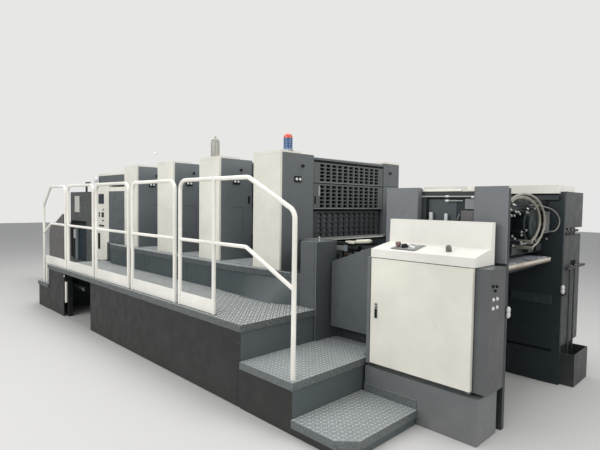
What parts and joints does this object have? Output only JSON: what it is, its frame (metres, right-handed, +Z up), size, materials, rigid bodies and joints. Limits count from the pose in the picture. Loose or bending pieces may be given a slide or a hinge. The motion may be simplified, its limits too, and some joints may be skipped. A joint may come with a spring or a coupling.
{
  "type": "offset printing press",
  "caption": "Sheet-fed offset printing press with raised operator walkway, guard rails, hinged cylinder guards, delivery console and lowering pile board.",
  "frame": {"origin": "centre of the bounding box in plan, on the floor", "axes": "+X along the press from the feeder towards the delivery, +Y from the operator side towards the drive side, +Z up"},
  "size_m": [8.99, 2.86, 2.28],
  "materials": {
    "steel_frame": "satin",
    "gray_enamel": "satin",
    "white_enamel": "gloss",
    "pale_enamel": "satin",
    "white_tube": "satin",
    "dark_casting": "matte",
    "lamp_plastic": "gloss",
    "hose_rubber": "matte",
    "board_wood": "matte"
  },
  "bodies": {
    "press": {"walkway_frame": "steel_frame", "walkway_deck": "gray_enamel", "walkway_skirts": "gray_enamel", "upper_tread": "gray_enamel", "lower_tread": "gray_enamel", "feeder_tread": "gray_enamel", "inner_step": "gray_enamel", "guard_rail_1": "white_tube", "guard_rail_2": "white_tube", "guard_rail_3": "white_tube", "guard_rail_4": "white_tube", "guard_rail_5": "white_tube", "press_bed": "dark_casting", "unit_body_1": "gray_enamel", "unit_body_2": "gray_enamel", "unit_body_3": "gray_enamel", "unit_body_4": "gray_enamel", "unit_covers": "white_enamel", "inner_guards": "gray_enamel", "signal_lamps": "lamp_plastic", "chain_housing": "dark_casting", "delivery_box": "gray_enamel", "delivery_side_panel": "gray_enamel", "operator_frame": "dark_casting", "operator_covers": "gray_enamel", "drive_frame": "dark_casting", "drive_cover": "gray_enamel", "drive_top_cover": "white_enamel", "delivery_rails": "steel_frame", "delivery_head": "dark_casting", "delivery_hoses": "hose_rubber", "hoist_rods": "steel_frame", "floor_box": "gray_enamel", "console_body": "gray_enamel", "console_desk": "white_enamel", "control_column": "gray_enamel", "feeder_body": "gray_enamel", "feeder_pile_guards": "pale_enamel", "feeder_cabinet": "white_enamel", "infeed_cover": "gray_enamel"},
    "console_door": {"console_door": "white_enamel"},
    "upper_guard": {"upper_guard": "gray_enamel"},
    "lower_guard": {"lower_guard": "gray_enamel"},
    "pile_board": {"pile_board": "board_wood", "pile_carrier": "steel_frame"}
  },
  "joints": [
    {"name": "console_door_hinge", "type": "hinge", "parent": "press", "child": "console_door", "pos_m": [4.303, -0.658, 0.74], "axis": [0, 0, 1], "range_deg": [0, 105]},
    {"name": "upper_guard_hinge", "type": "hinge", "parent": "press", "child": "upper_guard", "pos_m": [2.366, 0.4665, 1.948], "axis": [0, -1, 0], "range_deg": [0, 75]},
    {"name": "lower_guard_hinge", "type": "hinge", "parent": "press", "child": "lower_guard", "pos_m": [2.366, 0.4665, 1.5], "axis": [0, 1, 0], "range_deg": [0, 80]},
    {"name": "pile_hoist", "type": "slide", "parent": "press", "child": "pile_board", "axis": [0, 0, 1], "range_m": [-0.85, 0]}
  ]
}
